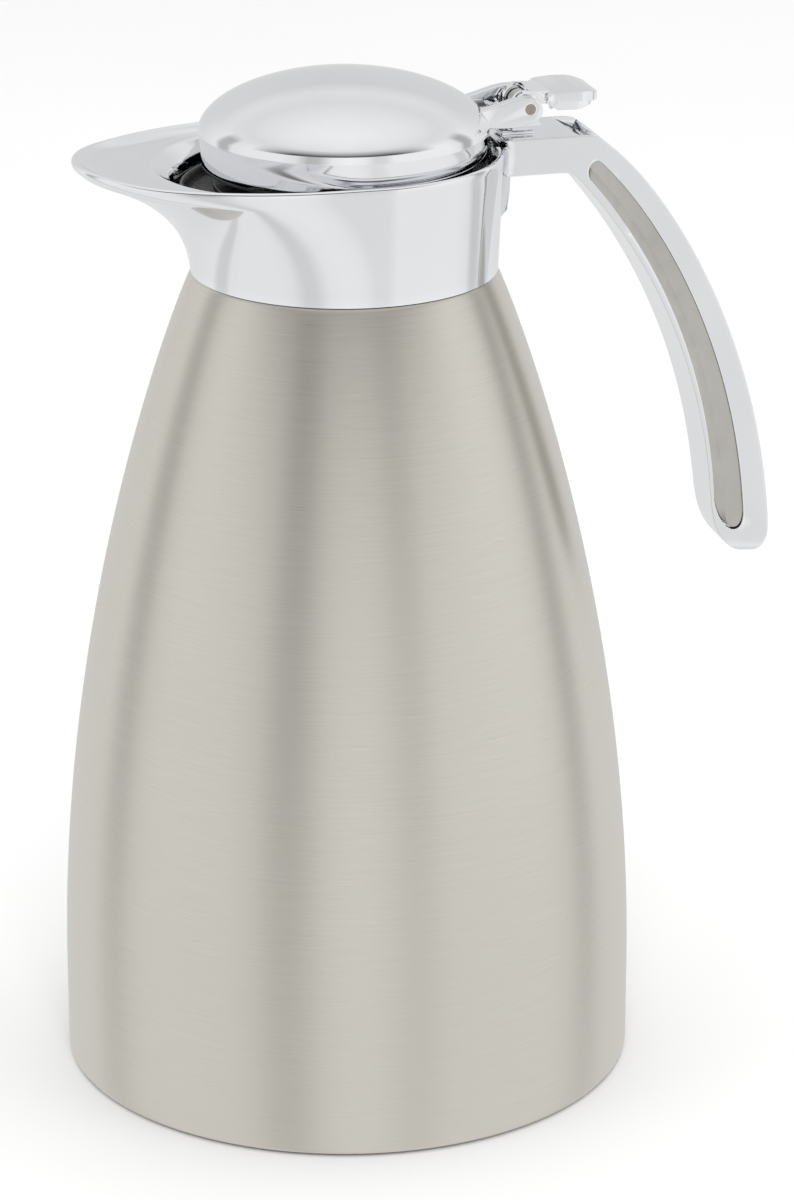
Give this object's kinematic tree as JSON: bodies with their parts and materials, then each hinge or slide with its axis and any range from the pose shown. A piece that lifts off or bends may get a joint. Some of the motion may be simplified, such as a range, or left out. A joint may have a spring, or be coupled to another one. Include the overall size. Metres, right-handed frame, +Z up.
{
  "type": "vacuum coffee jug",
  "caption": "Double-walled steel vacuum jug with a chromed pouring collar, a sprung hinged lid with a thumb lever, and an open side handle.",
  "frame": {"origin": "centre of the base, on the surface that the jug stands on", "axes": "+Z up along the body's axis, +X towards the handle, -X towards the spout"},
  "size_m": [0.1761, 0.14, 0.2472],
  "materials": {
    "brushed_body": "circumferentially brushed stainless steel, warm satin",
    "flask_steel": "plain drawn stainless steel",
    "polished_chrome": "mirror-polished chrome plating",
    "satin_inlay": "satin warm grey metallic",
    "black_plastic": "fine textured black plastic",
    "foot_silicone": "matt silicone",
    "seal_silicone": "translucent white silicone",
    "foam": "closed-cell foam",
    "small_steel": "turned stainless steel",
    "pin_steel": "warm-toned turned steel",
    "spring_steel": "drawn spring wire",
    "getter_metal": "dull sintered metal"
  },
  "bodies": {
    "jug": {"outer_shell": "brushed_body", "inner_flask": "flask_steel", "jacket_bottom": "flask_steel", "getter": "getter_metal", "evacuation_seal": "small_steel", "base_cover": "black_plastic", "foot_ring": "foot_silicone", "spout_collar": "polished_chrome", "retaining_ring": "small_steel", "neck_gasket": "seal_silicone", "collar_liner": "black_plastic", "handle": "polished_chrome", "handle_inlay_near": "satin_inlay", "handle_inlay_far": "satin_inlay", "handle_anchor": "small_steel", "anchor_rivets": "small_steel", "handle_pin": "small_steel", "hinge_bracket": "polished_chrome", "bracket_screws": "small_steel"},
    "lid": {"lid_cover": "polished_chrome", "lid_ring": "polished_chrome", "lid_carrier": "black_plastic", "lid_insulation": "foam", "stopper_body": "black_plastic", "stopper_insulation": "foam", "stopper_seal": "seal_silicone", "stopper_screws": "small_steel", "hinge_yoke": "polished_chrome", "yoke_screws": "small_steel", "thumb_lever": "polished_chrome", "hinge_pin": "pin_steel", "torsion_spring": "spring_steel"}
  },
  "joints": [
    {"name": "lid_hinge", "type": "hinge", "parent": "jug", "child": "lid", "pos_m": [0.0431, 0, 0.2376], "axis": [0, 1, 0], "range_deg": [0, 26], "stiffness_Nm_per_rad": 0.15, "springref_deg": -28.65, "deforming": ["torsion_spring"]}
  ]
}
